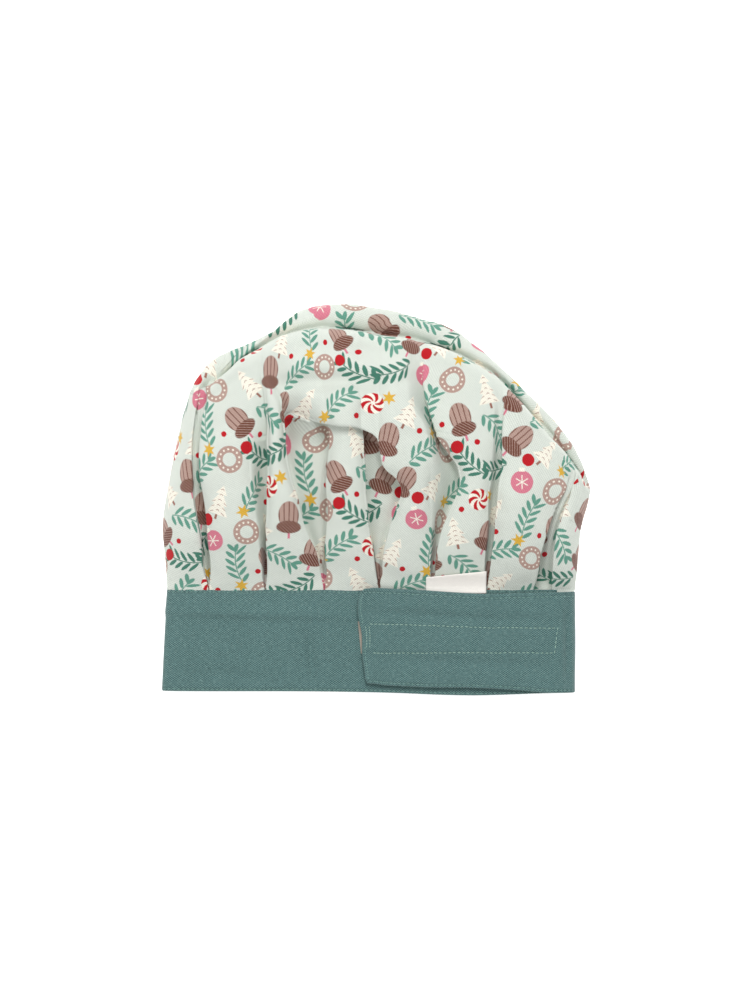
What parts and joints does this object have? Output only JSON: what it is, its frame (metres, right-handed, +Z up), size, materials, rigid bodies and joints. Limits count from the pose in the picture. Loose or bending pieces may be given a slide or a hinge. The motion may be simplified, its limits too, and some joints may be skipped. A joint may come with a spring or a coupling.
{
  "type": "chef hat",
  "caption": "Pleated cloth chef's hat lying flat on its back: a hollow printed crown gathered into a canvas head band with a hook-and-loop closing flap and a blank label.",
  "frame": {"origin": "under the middle of the hat's box, on the surface that it lies on", "axes": "+X across the hat towards the closed end of the flap, +Y from the head band's open edge to the crown's top, +Z up from the surface, through the closure side"},
  "size_m": [0.28, 0.2542, 0.0545],
  "materials": {
    "printed_cotton": "woven cotton in pale mint with a printed winter pattern",
    "band_canvas": "teal cotton twill",
    "hook_tape": "grey-beige hook tape",
    "loop_tape": "grey-beige napped loop tape",
    "label_tape": "off-white woven tape, blank"
  },
  "bodies": {
    "root": {"crown": "printed_cotton", "band": "band_canvas", "hook_strip": "hook_tape", "loop_strip": "loop_tape", "label": "label_tape"}
  },
  "joints": []
}
